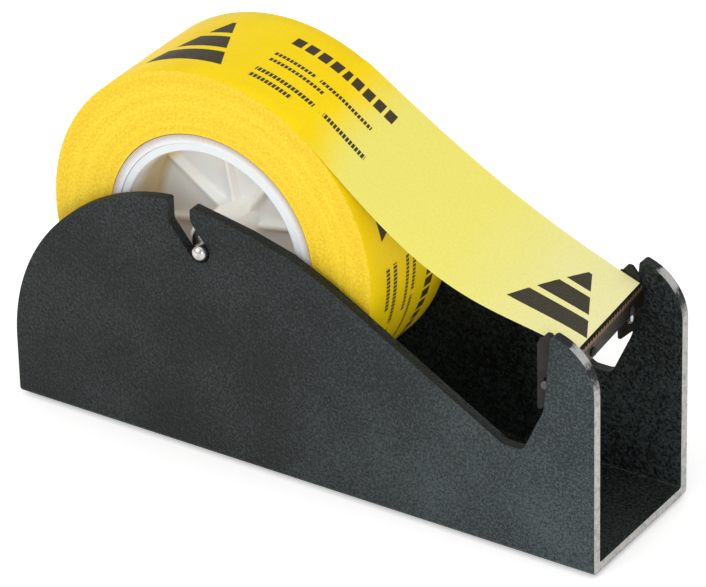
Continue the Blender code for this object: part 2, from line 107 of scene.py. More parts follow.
def makeStudio(settings):
    scene = bpy.context.scene
    scene.view_settings.view_transform = "Standard"
    world = bpy.data.worlds.new("paleStudio")
    world.use_nodes = True
    tree = world.node_tree
    background = tree.nodes["Background"]
    background.inputs["Color"].default_value = (1, 1, 1, 1)
    seen = tree.nodes.new("ShaderNodeLightPath").outputs["Is Camera Ray"]
    strength = tree.nodes.new("ShaderNodeMapRange")  # white to look at, softer as a light
    strength.inputs["To Min"].default_value = settings["worldStrength"]
    tree.links.new(seen, strength.inputs["Value"])
    tree.links.new(strength.outputs[0], background.inputs["Strength"])
    scene.world = world
    for name, place, width, height, power, colour in settings["lights"]:
        data = bpy.data.lights.new(name, "AREA")
        data.shape = "RECTANGLE"
        data.size, data.size_y = width, height
        data.energy = power
        data.color = colour
        light = bpy.data.objects.new(name, data)
        light.location = place
        backward = Vector(place) - Vector(settings["aim"])
        light.rotation_euler = backward.to_track_quat("Z", "Y").to_euler()
        scene.collection.objects.link(light)
    mesh = bpy.data.meshes.new("floor")
    half = settings["floorHalf"]
    corners = [(-half, -half, 0), (half, -half, 0), (half, half, 0), (-half, half, 0)]
    mesh.from_pydata(corners, [], [(0, 1, 2, 3)])
    floor = bpy.data.objects.new("floor", mesh)
    scene.collection.objects.link(floor)
    material = bpy.data.materials.new("paleFloor")
    material.use_nodes = True
    plain = material.node_tree
    shader = plain.nodes["Principled BSDF"]
    shader.inputs["Base Color"].default_value = settings["floorColour"]
    shader.inputs["Roughness"].default_value = 0.9
    shader.inputs["Specular IOR Level"].default_value = 0.1
    shader.inputs["Emission Color"].default_value = (1, 1, 1, 1)
    away = plain.nodes.new("ShaderNodeVectorMath")  # the floor whitens away from the dispenser
    away.operation = "LENGTH"
    plain.links.new(plain.nodes.new("ShaderNodeTexCoord").outputs["Object"], away.inputs[0])
    glow = plain.nodes.new("ShaderNodeMapRange")
    ends = {"From Min": "glowFrom", "From Max": "glowTo", "To Min": "floorGlow", "To Max": "farGlow"}
    for socket, key in ends.items():
        glow.inputs[socket].default_value = settings[key]
    plain.links.new(away.outputs["Value"], glow.inputs["Value"])
    plain.links.new(glow.outputs[0], shader.inputs["Emission Strength"])
    mesh.materials.append(material)


makeCamera(viewPoint)
makeStudio(studio)
print("camera, light and floor made")


def newMaterial(name):
    material = bpy.data.materials.new(name)
    material.use_nodes = True
    return material, material.node_tree, material.node_tree.nodes["Principled BSDF"]


def addNode(tree, kind, inputs=None, **settings):
    made = tree.nodes.new(kind)
    for key, value in settings.items():
        setattr(made, key, value)
    for key, value in (inputs or {}).items():
        plug(tree, made.inputs[key], value)
    return made


def plug(tree, socket, value):
    if isinstance(value, bpy.types.NodeSocket):
        tree.links.new(value, socket)
    else:
        socket.default_value = value


def maths(tree, operation, *values):
    return addNode(tree, "ShaderNodeMath", dict(enumerate(values)), operation=operation).outputs[0]


def noise(tree, vector, scale, detail=2.0, roughness=0.5, distortion=0.0):
    inputs = {"Vector": vector, "Scale": scale, "Detail": detail}
    inputs.update({"Roughness": roughness, "Distortion": distortion})
    return addNode(tree, "ShaderNodeTexNoise", inputs).outputs[0]


def remap(tree, value, low, high, newLow=0.0, newHigh=1.0, style="LINEAR"):
    inputs = {"Value": value, "From Min": low, "From Max": high, "To Min": newLow, "To Max": newHigh}
    return addNode(tree, "ShaderNodeMapRange", inputs, interpolation_type=style).outputs[0]


def mixColour(tree, factor, first, second, blend="MIX"):
    made = addNode(tree, "ShaderNodeMix", data_type="RGBA", blend_type=blend)
    for index, value in ((0, factor), (6, first), (7, second)):
        plug(tree, made.inputs[index], value)
    return made.outputs[2]


def bump(tree, height, distance, strength=1.0, under=None):
    inputs = {"Height": height, "Distance": distance, "Strength": strength}
    if under is not None:
        inputs["Normal"] = under
    return addNode(tree, "ShaderNodeBump", inputs).outputs[0]


def objectPlace(tree):
    return addNode(tree, "ShaderNodeTexCoord").outputs["Object"]


def splitPlace(tree, place):
    return addNode(tree, "ShaderNodeSeparateXYZ", {"Vector": place}).outputs


def axleDistance(tree, split):
    x = maths(tree, "SUBTRACT", split[0], axleX)
    z = maths(tree, "SUBTRACT", split[2], axleZ)
    squares = maths(tree, "ADD", maths(tree, "MULTIPLY", x, x), maths(tree, "MULTIPLY", z, z))
    return maths(tree, "SQRT", squares)


def attribute(tree, name, output="Fac"):
    return addNode(tree, "ShaderNodeAttribute", attribute_name=name).outputs[output]


def finish(tree, shader, **sockets):
    for name, value in sockets.items():
        plug(tree, shader.inputs[name.replace("_", " ")], value)


def gridFaces(rows, columns, closeRows, closeColumns):
    # quad (i, j) joins the points (i, j), (i, j+1), (i+1, j+1) and (i+1, j), wrapping where closed
    starts = np.arange(rows - (not closeRows)), np.arange(columns - (not closeColumns))
    i, j = np.meshgrid(*starts, indexing="ij")
    k, m = (i + 1) % rows, (j + 1) % columns
    return np.stack([i * columns + j, i * columns + m, k * columns + m, k * columns + j], -1).reshape(-1, 4)


def filletCorners(corners, radii, steps):
    # each corner becomes an arc of its radius, tangent to both sides, its centre on the corner's bisector
    here = np.array(corners, float)
    radius = np.array(radii, float)[:, None]
    before = np.roll(here, 1, 0) - here
    after = np.roll(here, -1, 0) - here
    before /= np.linalg.norm(before, axis=1, keepdims=True)
    after /= np.linalg.norm(after, axis=1, keepdims=True)
    half = np.arccos(np.clip((before * after).sum(1, keepdims=True), -1, 1)) / 2
    bisector = before + after
    bisector /= np.linalg.norm(bisector, axis=1, keepdims=True)
    centre = here + bisector * radius / np.sin(half)
    first = here + before * radius / np.tan(half) - centre
    last = here + after * radius / np.tan(half) - centre
    start = np.arctan2(first[:, 1], first[:, 0])
    turn = (np.arctan2(last[:, 1], last[:, 0]) - start + math.pi) % math.tau - math.pi
    angle = start[:, None] + turn[:, None] * np.linspace(0, 1, steps + 1)
    arcs = centre[:, None] + radius[:, None] * np.stack([np.cos(angle), np.sin(angle)], -1)
    points = arcs.reshape(-1, 2)
    apart = np.linalg.norm(points - np.roll(points, 1, 0), axis=1) > 1e-7
    return points[apart]


def turnedPoints(profile, steps, x, z):
    # point (i, j): profile i's radius and own y, at angle j round the line through (x, z) along Y
    angle = np.linspace(0, math.tau, steps, endpoint=False)
    radius, y = profile[:, :1], profile[:, 1:]
    return np.stack([x + radius * np.sin(angle), y + 0 * angle, z + radius * np.cos(angle)], -1)


def makeMesh(name, points, faces, merge=1e-7):
    mesh = bpy.data.meshes.new(name)
    mesh.from_pydata(np.asarray(points).reshape(-1, 3).tolist(), [], [list(face) for face in faces])
    work = bmesh.new()
    work.from_mesh(mesh)
    bmesh.ops.remove_doubles(work, verts=work.verts, dist=merge)
    bmesh.ops.dissolve_degenerate(work, dist=merge, edges=work.edges)
    bmesh.ops.recalc_face_normals(work, faces=work.faces)
    work.to_mesh(mesh)
    work.free()
    return mesh


def makePiece(name, mesh, material, body, replaced, sharp=40):
    mesh.name = name
    mesh.materials.clear()
    mesh.materials.append(material)
    mesh.shade_smooth()
    mesh.set_sharp_from_angle(angle=math.radians(sharp))
    piece = bpy.data.objects.new(name, mesh)
    bpy.context.scene.collection.objects.link(piece)
    if body is not None:
        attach(piece, body)
    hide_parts(*replaced)
    return piece


def softenedMesh(node, name, width, segments, angle=25):
    # a welded copy of the node whose edges sharper than the angle are rounded by width
    work = bmesh.new()
    work.from_mesh(nodes[node].data)
    bmesh.ops.remove_doubles(work, verts=work.verts, dist=2e-6)
    bmesh.ops.dissolve_limit(work, angle_limit=math.radians(0.6), verts=work.verts, edges=work.edges)
    edges = [e for e in work.edges if len(e.link_faces) == 2 and e.calc_face_angle() > math.radians(angle)]
    bmesh.ops.bevel(work, geom=edges, offset=width, offset_type="OFFSET", segments=segments,
                    profile=0.5, affect="EDGES", clamp_overlap=True)
    bmesh.ops.recalc_face_normals(work, faces=work.faces)
    mesh = bpy.data.meshes.new(name)
    work.to_mesh(mesh)
    work.free()
    return mesh


def steadyShading(piece):
    # broad flat faces keep their own normal, so the rounded edges take all the bend
    weighted = piece.modifiers.new("weighted", "WEIGHTED_NORMAL")
    weighted.mode = "FACE_AREA"
    weighted.weight = 80
    weighted.keep_sharp = True


framePaint = {
    "dark": (0.0010, 0.0020, 0.0016, 1),
    "light": (0.027, 0.037, 0.0370, 1),
    # painted shade for the plates' upward cut tops
    "paintedTopShade": (0.007, 0.0065, 0.0055, 1),
    # painted sheen on the outer faces towards the front end
    "sheenDark": (0.010, 0.0165, 0.0175, 1),
    "sheenLight": (0.062, 0.080, 0.083, 1),
    "insideLift": 0.05,
    "bareAndHighlightDark": (0.30, 0.30, 0.29, 1),
    "bareAndHighlightLight": (0.62, 0.61, 0.59, 1),
    "edgeRound": 0.00055,
    "grain": 1150.0,
    "wearAndHighlightReach": 0.030,  # only this far back from the front end is worn bare and given painted highlights
    "wearAndHighlightFacing": (0.40, 0.55, 0.75, 0.86, 0.95, 0.995),  # how far a face looks forward, and how much bare metal and painted highlight it takes
    "wearAndHighlightAmount": (0, 0.9, 1.0, 0.40, 0.45, 0.88),  # and how worn it is
    "cutBand": 0.0034,  # the plates' cut tops lie this close to the outer faces
    "cutAbove": 0.02,
}


def wrinklePaint(settings):
    material, tree, shader = newMaterial("wrinklePaint")
    place = objectPlace(tree)
    fine = noise(tree, place, settings["grain"], 3.0, 0.55, 0.4)
    broad = noise(tree, place, 26.0, 3.0)
    cellInputs = {"Vector": place, "Scale": settings["grain"] * 0.7}
    cells = addNode(tree, "ShaderNodeTexVoronoi", cellInputs, feature="SMOOTH_F1").outputs["Distance"]
    split = splitPlace(tree, place)
    outer = attribute(tree, "outer")
    # painted sheen: the outer faces grow lighter and cooler towards the front end
    frontSheen = maths(tree, "MULTIPLY", remap(tree, split[0], -0.02, frameHigh.x), outer)
    tone = maths(tree, "ADD", maths(tree, "MULTIPLY", fine, 0.80), maths(tree, "MULTIPLY", broad, 0.30))
    tone = maths(tree, "ADD", tone, remap(tree, outer, 0.0, 1.0, settings["insideLift"], 0.0))
    fresh = mixColour(tree, remap(tree, tone, 0.515, 0.700), settings["dark"], settings["light"])
    sheenTone = remap(tree, tone, 0.480, 0.670)
    sheenPaint = mixColour(tree, sheenTone, settings["sheenDark"], settings["sheenLight"])
    paint = mixColour(tree, frontSheen, fresh, sheenPaint)
    # painted shade: the plates' upward cut tops darken
    cutTopShade = maths(tree, "MULTIPLY", attribute(tree, "cutTopShade"), 0.8)
    paint = mixColour(tree, cutTopShade, paint, settings["paintedTopShade"])
    # bare metal and painted highlight: forward-facing faces near the front end turn bright metal, as the
    # facing table gives
    wornAndHighlight = attribute(tree, "wornAndHighlight")
    patches = noise(tree, place, 420.0, 4.0, 0.62)
    bareAndHighlight = remap(tree, maths(tree, "ADD", wornAndHighlight, maths(tree, "MULTIPLY", patches, 0.9)), 0.92, 1.30)
    metal = mixColour(tree, noise(tree, place, 900.0, 3.0), settings["bareAndHighlightDark"], settings["bareAndHighlightLight"])
    colour = mixColour(tree, bareAndHighlight, paint, metal)
    relief = bump(tree, maths(tree, "ADD", fine, maths(tree, "MULTIPLY", cells, 0.8)), 0.00040, 1.0)
    finish(tree, shader, Base_Color=colour, Metallic=maths(tree, "MULTIPLY", bareAndHighlight, 0.55),
           Roughness=remap(tree, fine, 0.3, 0.7, 0.46, 0.62), Normal=relief, Specular_IOR_Level=0.26)
    return material


def makeFrame(settings):
    mesh = softenedMesh("channel_frame", "channelFrame", settings["edgeRound"], 3)
    normals = np.empty(len(mesh.vertices) * 3)
    mesh.vertex_normals.foreach_get("vector", normals)
    places = np.empty(len(mesh.vertices) * 3)
    mesh.vertices.foreach_get("co", places)
    normals, places = normals.reshape(-1, 3), places.reshape(-1, 3)
    # the forward faces near the front end get bare metal and painted highlights
    reach = places[:, 0] - (frameHigh.x - settings["wearAndHighlightReach"])
    # cut tops that face up, close to the outer faces, are marked for painted shade
    rising = np.clip((normals[:, 2] - 0.2) / 0.3, 0, 1)
    onCut = np.abs(places[:, 1]) > frameHigh.y - settings["cutBand"]
    onCut &= places[:, 2] > settings["cutAbove"]
    layers = {
        "wornAndHighlight": np.interp(normals[:, 0], settings["wearAndHighlightFacing"], settings["wearAndHighlightAmount"]) * (reach > 0),
        "outer": np.clip(normals[:, 1] * np.sign(places[:, 1]) * 2, 0, 1),
        "cutTopShade": rising * onCut,
    }
    for name, values in layers.items():
        mesh.attributes.new(name, "FLOAT", "POINT").data.foreach_set("value", values)
    material = wrinklePaint(settings)
    piece = makePiece("channelFrame", mesh, material, "frame", ["channel_frame"])
    steadyShading(piece)


makeFrame(framePaint)
print("channel frame made")

rubberFoot = {
    "inset": 0.0004,
    "groove": 0.0025,
    "colour": (0.018, 0.018, 0.019, 1),
    "dust": (0.06, 0.058, 0.055, 1),
    "steps": 48,
}


def rubber(settings):
    material, tree, shader = newMaterial("blackRubber")
    place = objectPlace(tree)
    dust = noise(tree, place, 260.0, 4.0, 0.6)
    colour = mixColour(tree, remap(tree, dust, 0.45, 0.8), settings["colour"], settings["dust"])
    relief = bump(tree, noise(tree, place, 1800.0), 0.0001)
    finish(tree, shader, Base_Color=colour, Roughness=0.82, Normal=relief)
    return material


def makeFeet(settings):
    material = rubber(settings)
    for node in ("foot_rear_right", "foot_rear_left", "foot_front_right", "foot_front_left"):
        low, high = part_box(node)
        radius, top = (high.x - low.x) / 2, high.z
        inset, groove = settings["inset"], settings["groove"]
        corners = [(radius, low.z), (radius, top), (0.00001, top), (0.00001, low.z + 0.0002),
                   (groove - 0.0004, low.z + 0.0002), (groove, low.z)]
        profile = filletCorners(corners, [inset, inset / 2, 0, 0, 0.0001, 0.0001], 4)
        angle = np.linspace(0, math.tau, settings["steps"], endpoint=False)
        across, up = profile[:, :1], profile[:, 1:]
        centre = (low + high) / 2
        x, y = centre.x + across * np.cos(angle), centre.y + across * np.sin(angle)
        points = np.stack([x, y, up + 0 * angle], -1)
        faces = gridFaces(len(profile), settings["steps"], True, True)
        makePiece(node.replace("foot", "rubberFoot"), makeMesh(node, points, faces, 0.00003), material,
                  "frame", [node])


makeFeet(rubberFoot)
print("feet made")

tapeLook = {
    "wound": (0.70, 0.455, 0.012, 1),
    "woundPale": (0.83, 0.61, 0.036, 1),
    "tread": (0.90, 0.625, 0.003, 1),
    "treadPale": (0.94, 0.690, 0.005, 1),
    "free": (0.81, 0.75, 0.17, 1),
    "end": (0.83, 0.81, 0.43, 1),
    "layerShade": (0.74, 0.44, 0.01, 1),
    "ink": (0.022, 0.018, 0.016, 1),
    "inkThin": (0.055, 0.047, 0.036, 1),  # where the film took the ink badly
    "fleck": (0.62, 0.42, 0.02, 1),
    "period": 0.157,
    "rollStretch": 0.975,
    "leaveRight": 39.0,
    "leaveLeft": 33.0,
    "film": 0.00012,
    "wrap": 0.07,
    "sink": 0.00028,
    "endSlope": -0.36,
    "sagRight": 0.0062,
    "sagLeft": 0.0008,
    "cutterSkew": 5.2,
    "stripSteps": (140, 41),  # along and across
    "rollSteps": (110, 9, 288),  # on each side, across the tread and round the axle
}

# rows of blocks on each repeat of the print: along and across to the middle, half length,
# half width, pitch
printRows = (
    (0.1275, 0.0133, 0.0236, 0.0024, 0.00525),
    (0.1430, 0.0022, 0.0082, 0.0009, 0.0015),
    (0.1205, 0.0022, 0.0120, 0.0009, 0.0015),
    (0.1395, -0.0020, 0.0112, 0.0009, 0.0015),
    (0.1390, -0.0098, 0.0120, 0.0011, 0.0015),
    (0.1138, -0.0098, 0.0102, 0.0011, 0.0015),
    (0.1425, -0.0142, 0.0085, 0.0011, 0.0015),
)
printTriangle = ((0.0035, -0.0172), (0.0368, -0.0165), (0.0190, 0.0168))
printBands = {"foot": -0.0169, "pitch": 0.0112, "gap": 0.0028}
printOffset = 0.004  # the cut end is this far into a repeat
printSoft = 0.00006  # half the blur at a mark's edge
blockShare = 0.37  # half a block's width, of its pitch


def printMask(tree, along, across, period):
    # positive inside the striped triangle or a row of blocks: the least of the distances in from each
    # side, and the greatest of those over all the shapes
    turn = maths(tree, "FLOORED_MODULO", maths(tree, "ADD", along, printOffset), period)
    rise = maths(tree, "SUBTRACT", across, printBands["foot"])
    stripe = maths(tree, "PINGPONG", rise, printBands["pitch"] / 2)
    mark = maths(tree, "SUBTRACT", stripe, printBands["gap"] / 2)
    corners = list(printTriangle)
    for (x0, y0), (x1, y1) in zip(corners, corners[1:] + corners[:1]):
        length = math.hypot(x1 - x0, y1 - y0)
        nx, ny = -(y1 - y0) / length, (x1 - x0) / length
        partial = maths(tree, "MULTIPLY_ADD", turn, nx, -nx * x0 - ny * y0)
        mark = maths(tree, "MINIMUM", mark, maths(tree, "MULTIPLY_ADD", across, ny, partial))
    for rowAlong, rowAcross, halfLength, halfWidth, pitch in printRows:
        offset = maths(tree, "ABSOLUTE", maths(tree, "SUBTRACT", turn, rowAlong))
        aside = maths(tree, "ABSOLUTE", maths(tree, "SUBTRACT", across, rowAcross))
        long = maths(tree, "SUBTRACT", halfLength, offset)
        wide = maths(tree, "SUBTRACT", halfWidth, aside)
        gap = maths(tree, "SUBTRACT", pitch * blockShare, maths(tree, "PINGPONG", offset, pitch / 2))
        row = maths(tree, "MINIMUM", maths(tree, "MINIMUM", long, wide), gap)
        mark = maths(tree, "MAXIMUM", mark, row)
    return remap(tree, mark, -printSoft, printSoft)


def printedFilm(settings, along, across, tree, shader, base, place):
    ragged = maths(tree, "MULTIPLY", maths(tree, "SUBTRACT", noise(tree, place, 2600.0, 2.0), 0.5), 0.00022)
    raggedAlong, raggedAcross = maths(tree, "ADD", along, ragged), maths(tree, "ADD", across, ragged)
    mask = printMask(tree, raggedAlong, raggedAcross, settings["period"])
    thinning = remap(tree, noise(tree, place, 1900.0, 3.0, 0.7), 0.35, 0.65)
    inkTone = mixColour(tree, thinning, settings["ink"], settings["inkThin"])
    fleck = noise(tree, place, 1500.0, 3.0, 0.6)
    film = mixColour(tree, remap(tree, fleck, 0.35, 0.70, 0.0, 0.18), base, settings["fleck"])
    colour = mixColour(tree, maths(tree, "MULTIPLY", mask, 0.98), film, inkTone)
    roughness = remap(tree, noise(tree, place, 130.0, 3.0), 0.3, 0.7, 0.38, 0.50)
    finish(tree, shader, Base_Color=colour, Roughness=roughness, Specular_IOR_Level=0.07,
           Normal=bump(tree, noise(tree, place, 75.0, 2.0), 0.0002, 0.5))


def treadTone(tree, settings, place):
    cloud = remap(tree, noise(tree, place, 45.0, 3.0), 0.3, 0.7)
    return mixColour(tree, cloud, settings["tread"], settings["treadPale"])


def rollTread(settings):
    material, tree, shader = newMaterial("printedTread")
    place = objectPlace(tree)
    split = splitPlace(tree, place)
    x = maths(tree, "SUBTRACT", split[0], axleX)
    z = maths(tree, "SUBTRACT", split[2], axleZ)
    leave = math.radians((settings["leaveRight"] + settings["leaveLeft"]) / 2)
    back = maths(tree, "SUBTRACT", leave, maths(tree, "ARCTAN2", x, z))
    turn = maths(tree, "FLOORED_MODULO", back, math.tau)
    along = maths(tree, "MULTIPLY_ADD", turn, rollRadius * settings["rollStretch"], stripLength)
    printedFilm(settings, along, split[1], tree, shader, treadTone(tree, settings, place), place)
    return material


def woundEdge(settings):
    material, tree, shader = newMaterial("woundTapeEdge")
    place = objectPlace(tree)
    split = splitPlace(tree, place)
    radius = axleDistance(tree, split)
    ring = addNode(tree, "ShaderNodeCombineXYZ", {0: radius, 1: split[1]}).outputs[0]
    layers = noise(tree, ring, 5200.0, 2.0, 0.6)
    bands = noise(tree, ring, 420.0, 3.0, 0.6)
    speck = noise(tree, place, 1100.0, 3.0, 0.7)
    tone = maths(tree, "ADD", maths(tree, "MULTIPLY", bands, 0.25), maths(tree, "MULTIPLY", speck, 0.75))
    base = mixColour(tree, remap(tree, tone, 0.40, 0.60), settings["wound"], settings["woundPale"])
    shade = mixColour(tree, remap(tree, layers, 0.35, 0.75, 0.0, 0.16), base, settings["layerShade"])
    relief = bump(tree, layers, 0.00008, 0.8, bump(tree, bands, 0.0004, 0.5))
    finish(tree, shader, Base_Color=shade, Roughness=0.55, Normal=relief, Specular_IOR_Level=0.2)
    return material


def stripFilm(settings):
    material, tree, shader = newMaterial("freeTapeFilm")
    place = objectPlace(tree)
    along = attribute(tree, "tapeAlong")
    across = attribute(tree, "tapeAcross")
    share = maths(tree, "DIVIDE", along, stripLength)
    mottled = maths(tree, "ADD", share, maths(tree, "MULTIPLY", noise(tree, place, 60.0, 3.0), 0.14))
    wound = treadTone(tree, settings, place)
    nearRoll = mixColour(tree, remap(tree, mottled, 0.92, 1.10, style="SMOOTHSTEP"), settings["free"], wound)
    base = mixColour(tree, remap(tree, mottled, 0.0, 0.62, style="SMOOTHSTEP"), settings["end"], nearRoll)
    printedFilm(settings, along, across, tree, shader, base, place)
    return material


stripLow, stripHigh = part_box("tape_strip")
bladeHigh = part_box("cutting_blade")[1]


def stripSurface(settings, u, t):
    # a cubic from the roll's tangent (u = 0) to the cutter (u = 1), its leaving angle, end and sag
    # changing evenly from the right edge (t = -1) to the left edge (t = 1); before u = 0 the film
    # follows the roll and sinks into it
    leave = np.radians((settings["leaveRight"] * (1 - t) + settings["leaveLeft"] * (1 + t)) / 2)
    lift = rollRadius + settings["film"]
    startX, startZ = axleX + lift * np.sin(leave), axleZ + lift * np.cos(leave)
    endX = (stripHigh.x - 0.0005) - tapeHalf * math.tan(math.radians(settings["cutterSkew"])) * (1 + t)
    endZ = stripLow.z + 0.0008
    run = endX - startX
    level = (2 * u ** 3 - 3 * u ** 2 + 1) * startZ + (3 * u ** 2 - 2 * u ** 3) * endZ
    bend = (u ** 3 - 2 * u ** 2 + u) * -np.tan(leave) + (u ** 3 - u ** 2) * settings["endSlope"]
    droop = (settings["sagRight"] * (1 - t) + settings["sagLeft"] * (1 + t)) / 2
    sag = 16 * u ** 2 * (1 - u) ** 2 * droop
    back = np.minimum(u, 0) * run / rollRadius
    sunk = lift - settings["sink"] * (back / settings["wrap"]) ** 2
    onRoll = u < 0
    x = np.where(onRoll, axleX + sunk * np.sin(leave + back), startX + run * u)
    z = np.where(onRoll, axleZ + sunk * np.cos(leave + back), level + run * bend - sag)
    return x, tapeHalf * t + 0 * u, z


def stripRun(settings):
    # length of the strip's middle line
    u = np.linspace(0, 1, 400)
    x, _, z = stripSurface(settings, u, 0 * u)
    return float(np.hypot(np.diff(x), np.diff(z)).sum())


stripLength = stripRun(tapeLook)
print("strip length %.4f" % stripLength)


def makeStrip(settings):
    rows, columns = settings["stripSteps"]
    early = -settings["wrap"] * rollRadius / (stripHigh.x - stripLow.x)
    u, t = np.meshgrid(np.linspace(early, 1, rows), np.linspace(-1, 1, columns), indexing="ij")
    x, y, z = stripSurface(settings, u, t)
    step = np.hypot(np.diff(x, axis=0), np.diff(z, axis=0))
    gone = np.vstack([np.zeros((1, columns)), np.cumsum(step, axis=0)])
    along = gone[-1:] - gone
    slopeX, slopeZ = np.gradient(x, axis=0), np.gradient(z, axis=0)
    size = np.hypot(slopeX, slopeZ)
    half = settings["film"] / 2
    asideX, asideZ = half * slopeZ / size, half * slopeX / size
    upper = np.stack([x - asideX, y, z + asideZ], -1)
    lower = np.stack([x + asideX, y, z - asideZ], -1)
    points = np.concatenate([upper.reshape(-1, 3), lower.reshape(-1, 3)])
    count = rows * columns
    sheet = gridFaces(rows, columns, False, False)
    grid = np.arange(count).reshape(rows, columns)
    rim = np.concatenate([grid[0, :-1], grid[:-1, -1], grid[-1, :0:-1], grid[:0:-1, 0]])
    after = np.roll(rim, -1)
    wall = np.stack([rim, after, after + count, rim + count], -1)
    faces = np.concatenate([sheet, sheet[:, ::-1] + count, wall])
    mesh = makeMesh("tapeStrip", points, faces, 1e-9)
    places = np.tile(np.stack([along.ravel(), y.ravel()], -1), (2, 1))
    mesh.attributes.new("tapeAlong", "FLOAT", "POINT").data.foreach_set("value", places[:, 0])
    mesh.attributes.new("tapeAcross", "FLOAT", "POINT").data.foreach_set("value", places[:, 1])
    piece = makePiece("tapeStrip", mesh, stripFilm(settings), None, ["tape_strip"])
    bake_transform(piece)


def makeRoll(settings):
    # the right and left sides wander by a hair from one layer to the next, and the tread between them
    # falls away at its two edges; the closed profile is turned round the axle
    coreLow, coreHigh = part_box("tape_core")
    inner = (coreHigh.x - coreLow.x) / 2 + 0.00025
    half, edge = tapeHalf, 0.0002
    sideSteps, treadSteps, turnSteps = settings["rollSteps"]
    radius = np.linspace(rollRadius - edge, inner, sideSteps)
    wander = 0.5 * np.sin(radius * 5100) + 0.3 * np.sin(radius * 12700 + 1.3)
    wander += 0.2 * np.sin(radius * 2300 + 0.4)
    side = half - 0.00006 + 0.00005 * wander
    left = np.stack([radius, side], -1)
    right = np.stack([radius[::-1], -side[::-1]], -1)
    fall = 0.8 * edge * np.linspace(-1, 1, treadSteps) ** 4
    tread = np.stack([rollRadius - fall, np.linspace(-half + edge, half - edge, treadSteps)], -1)
    profile = np.concatenate([left, right, tread])
    points = turnedPoints(profile, turnSteps, axleX, axleZ)
    mesh = makeMesh("tapeRoll", points, gridFaces(len(profile), turnSteps, True, True))
    makePiece("tapeRoll", mesh, rollTread(settings), "roll", ["tape_roll"])
    mesh.materials.append(woundEdge(settings))
    normals = np.empty(len(mesh.polygons) * 3)
    mesh.polygon_normals.foreach_get("vector", normals)
    isSide = (np.abs(normals.reshape(-1, 3)[:, 1]) > 0.3).astype(np.int32)
    mesh.polygons.foreach_set("material_index", isSide)


makeStrip(tapeLook)
makeRoll(tapeLook)
print("tape made")

coreLook = {
    "light": (0.70, 0.70, 0.71, 1),
    "dark": (0.46, 0.38, 0.33, 1),
    "round": 0.00012,
    "inner": 0.0381,
    "steps": 160,
}
hubLook = {
    "light": (0.87, 0.90, 0.91, 1),
    "glow": (1.0, 0.82, 0.60, 1),  # a painted glow, standing in for light that soaks through the thin white walls
    "glowStrength": 0.065,
    # painted shade: the rim's front face, darker and cooler
    "rimFaceShade": (0.60, 0.65, 0.67, 1),
    # a tan tint over the hub, and painted shade on the deep inner wall of the dish
    "tanTintAndWallShade": (0.62, 0.47, 0.24, 1),
    "wallStart": 0.0305,
    "ribs": 8,
    "ribPhase": 10.0,
    "ribDepth": 0.0162,
    "webAtRim": 0.0180,
    "webAtBoss": 0.0195,
    "web": 0.0026,
    "rim": 0.0030,
    "bore": 0.0036,
    "boss": 0.0090,
    "draft": 0.0008,
    "ribAside": (0.45, 0.8, 1.0, 1.4, 2.0, 2.9),  # millimetres from a rib's middle plane,
    "ribShare": (1, 0.92, 0.66, 0.20, 0.05, 0),  # and how much of the rib's height stands there
}


def corePaper(settings):
    material, tree, shader = newMaterial("coreBoard")
    place = objectPlace(tree)
    fibre = noise(tree, place, 900.0, 4.0, 0.65)
    blotch = noise(tree, place, 110.0, 3.0)
    tone = maths(tree, "ADD", maths(tree, "MULTIPLY", fibre, 0.55), maths(tree, "MULTIPLY", blotch, 0.45))
    split = splitPlace(tree, place)
    inner = settings["inner"]
    # painted shade: the board darkens to tan towards its outer edge beside the tape; the blotches are the
    # board's own
    outerEdgeShade = remap(tree, axleDistance(tree, split), inner + 0.0008, inner + 0.0031, -0.10, 0.95)
    blotchAndEdgeShade = maths(tree, "ADD", remap(tree, tone, 0.32, 0.66, 0.30, 0.0), outerEdgeShade)
    colour = mixColour(tree, remap(tree, blotchAndEdgeShade, 0.0, 1.0), settings["light"], settings["dark"])
    finish(tree, shader, Base_Color=colour, Roughness=0.7, Normal=bump(tree, fibre, 0.00012, 0.6))
    return material


def makeCore(settings):
    low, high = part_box("tape_core")
    outer, half = (high.x - low.x) / 2, high.y
    corners = [(outer, half), (outer, -half), (settings["inner"], -half), (settings["inner"], half)]
    profile = filletCorners(corners, [settings["round"]] * 4, 5)
    steps = settings["steps"]
    points = turnedPoints(profile, steps, axleX, axleZ)
    mesh = makeMesh("tapeCore", points, gridFaces(len(profile), steps, True, True))
    makePiece("tapeCore", mesh, corePaper(settings), "roll", ["tape_core"])


def mouldedPlastic(settings):
    material, tree, shader = newMaterial("mouldedHub")
    place = objectPlace(tree)
    cloud = noise(tree, place, 48.0, 3.0, 0.55)
    speck = noise(tree, place, 1300.0, 2.0)
    split = splitPlace(tree, place)
    radius = axleDistance(tree, split)
    # painted shade: deep in the dish the inner wall turns tan; a cloudy tan tint lies over all
    wall = remap(tree, radius, settings["wallStart"], settings["wallStart"] + 0.0035)
    deep = remap(tree, maths(tree, "ABSOLUTE", split[1]), 0.0235, 0.0150)
    tone = maths(tree, "ADD", maths(tree, "MULTIPLY", wall, deep), maths(tree, "MULTIPLY", cloud, 0.25))
    colour = mixColour(tree, remap(tree, tone, 0.08, 1.1), settings["light"], settings["tanTintAndWallShade"])
    # painted shade: the rim's front face takes a darker, cooler grey
    face = remap(tree, maths(tree, "ABSOLUTE", split[1]), 0.0232, 0.0246)
    colour = mixColour(tree, face, colour, settings["rimFaceShade"])
    finish(tree, shader, Base_Color=colour, Roughness=remap(tree, cloud, 0.3, 0.7, 0.34, 0.46),
           Normal=bump(tree, speck, 0.00004, 0.5), Subsurface_Weight=0.35, Subsurface_Scale=0.004,
           # painted glow: a faint warm emission over the whole hub
           Emission_Color=settings["glow"], Emission_Strength=settings["glowStrength"])
    return material


